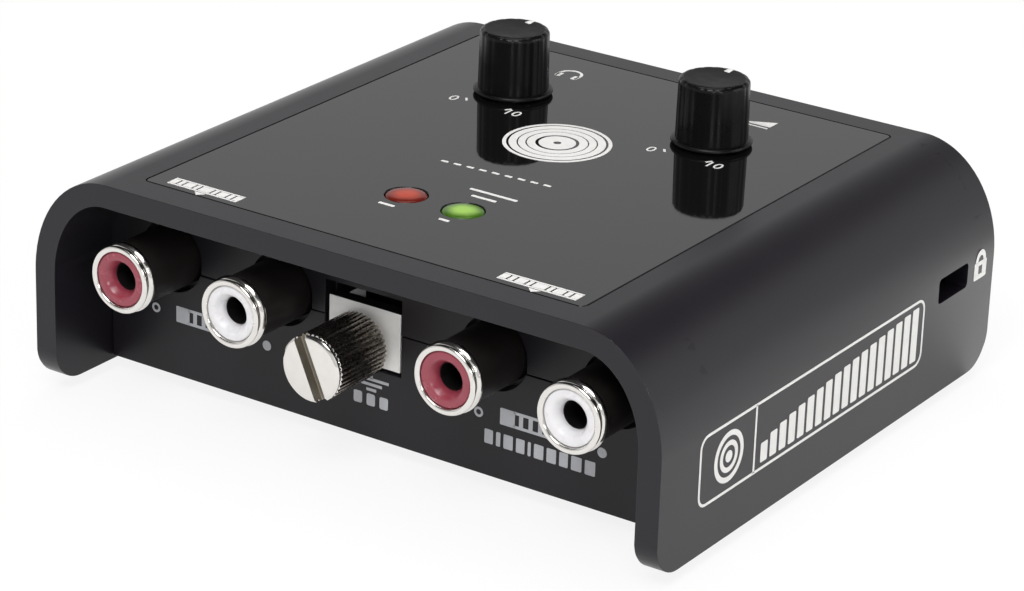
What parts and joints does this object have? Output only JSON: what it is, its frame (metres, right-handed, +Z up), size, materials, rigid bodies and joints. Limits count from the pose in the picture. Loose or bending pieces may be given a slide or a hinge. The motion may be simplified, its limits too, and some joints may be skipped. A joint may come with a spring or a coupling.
{
  "type": "phono preamp",
  "caption": "Small desktop phono preamp: arched black case with recessed phono sockets and an earth screw at one end, glossy top panel with fluted knobs and lamps.",
  "frame": {"origin": "on the floor under the middle of the case, in the plane of the feet's undersides", "axes": "+X along the front row of phono sockets, to the right for someone facing them; +Y away from the front sockets; +Z up"},
  "size_m": [0.0876, 0.0766, 0.0375],
  "materials": {
    "case_plastic": "satin moulded black",
    "gloss_panel": "glossy black",
    "foot_rubber": "matt black",
    "zinc_steel": "zinc plated",
    "board_green": "green solder mask",
    "jack_plastic": "matt black moulding",
    "nickel": "polished nickel plate",
    "insulator_red": "glossy red",
    "insulator_white": "glossy white",
    "contact_brass": "plain",
    "plate_steel": "tin plated",
    "pot_case": "matt black",
    "shaft_alloy": "turned",
    "knob_plastic": "semi-gloss black",
    "lamp_red": "lit red lens",
    "lamp_green": "lit green lens",
    "lever_plastic": "matt black",
    "chip_plastic": "matt epoxy",
    "capacitor_sleeve": "dark sleeve"
  },
  "bodies": {
    "case": {"top_shell": "case_plastic", "bottom_tray": "case_plastic", "top_panel": "gloss_panel", "rubber_feet": "foot_rubber", "case_screws": "zinc_steel", "board_screws": "zinc_steel", "main_board": "board_green", "output_jack_body": "jack_plastic", "input_jack_body": "jack_plastic", "output_right_barrel": "nickel", "output_right_insulator": "insulator_red", "output_right_contact": "contact_brass", "output_left_barrel": "nickel", "output_left_insulator": "insulator_white", "output_left_contact": "contact_brass", "input_right_barrel": "nickel", "input_right_insulator": "insulator_red", "input_right_contact": "contact_brass", "input_left_barrel": "nickel", "input_left_insulator": "insulator_white", "input_left_contact": "contact_brass", "earth_bracket": "plate_steel", "earth_nut": "plate_steel", "phones_pot": "pot_case", "gain_pot": "pot_case", "signal_lamp": "lamp_red", "power_lamp": "lamp_green", "lamp_holders": "jack_plastic", "lamp_legs": "zinc_steel", "headphone_socket": "jack_plastic", "headphone_ring": "nickel", "usb_shell": "plate_steel", "usb_tongue": "insulator_white", "switch_body": "plate_steel", "converter_chip": "chip_plastic", "amplifier_chip": "chip_plastic", "crystal_can": "zinc_steel", "supply_capacitor": "capacitor_sleeve", "input_capacitor": "capacitor_sleeve", "output_capacitor": "capacitor_sleeve"},
    "phones_knob_body": {"phones_knob": "knob_plastic", "phones_shaft": "shaft_alloy"},
    "gain_knob_body": {"gain_knob": "knob_plastic", "gain_shaft": "shaft_alloy"},
    "switch_lever_body": {"switch_lever": "lever_plastic"},
    "earth_washer_body": {"earth_washer": "nickel"},
    "earth_screw_body": {"earth_screw": "nickel"}
  },
  "joints": [
    {"name": "phones_knob_turn", "type": "hinge", "parent": "case", "child": "phones_knob_body", "pos_m": [-0.0145, 0.0185, 0.0291], "axis": [0, 0, 1], "range_deg": [-140, 140]},
    {"name": "gain_knob_turn", "type": "hinge", "parent": "case", "child": "gain_knob_body", "pos_m": [0.0145, 0.0185, 0.0291], "axis": [0, 0, 1], "range_deg": [-140, 140]},
    {"name": "selector_slide", "type": "slide", "parent": "case", "child": "switch_lever_body", "axis": [1, 0, 0], "range_m": [0, 0.002]},
    {"name": "earth_washer_slide", "type": "slide", "parent": "case", "child": "earth_washer_body", "axis": [0, -1, 0], "range_m": [0, 0.0028]},
    {"name": "earth_screw_turn", "type": "hinge", "parent": "earth_washer_body", "child": "earth_screw_body", "pos_m": [-0.0032, -0.0383, 0.0139], "axis": [0, -1, 0], "range_deg": [0, 1440]}
  ],
  "couplings": [
    {"joint": "earth_screw_turn", "follows": "earth_washer_slide", "rad_per_m": 8976}
  ]
}
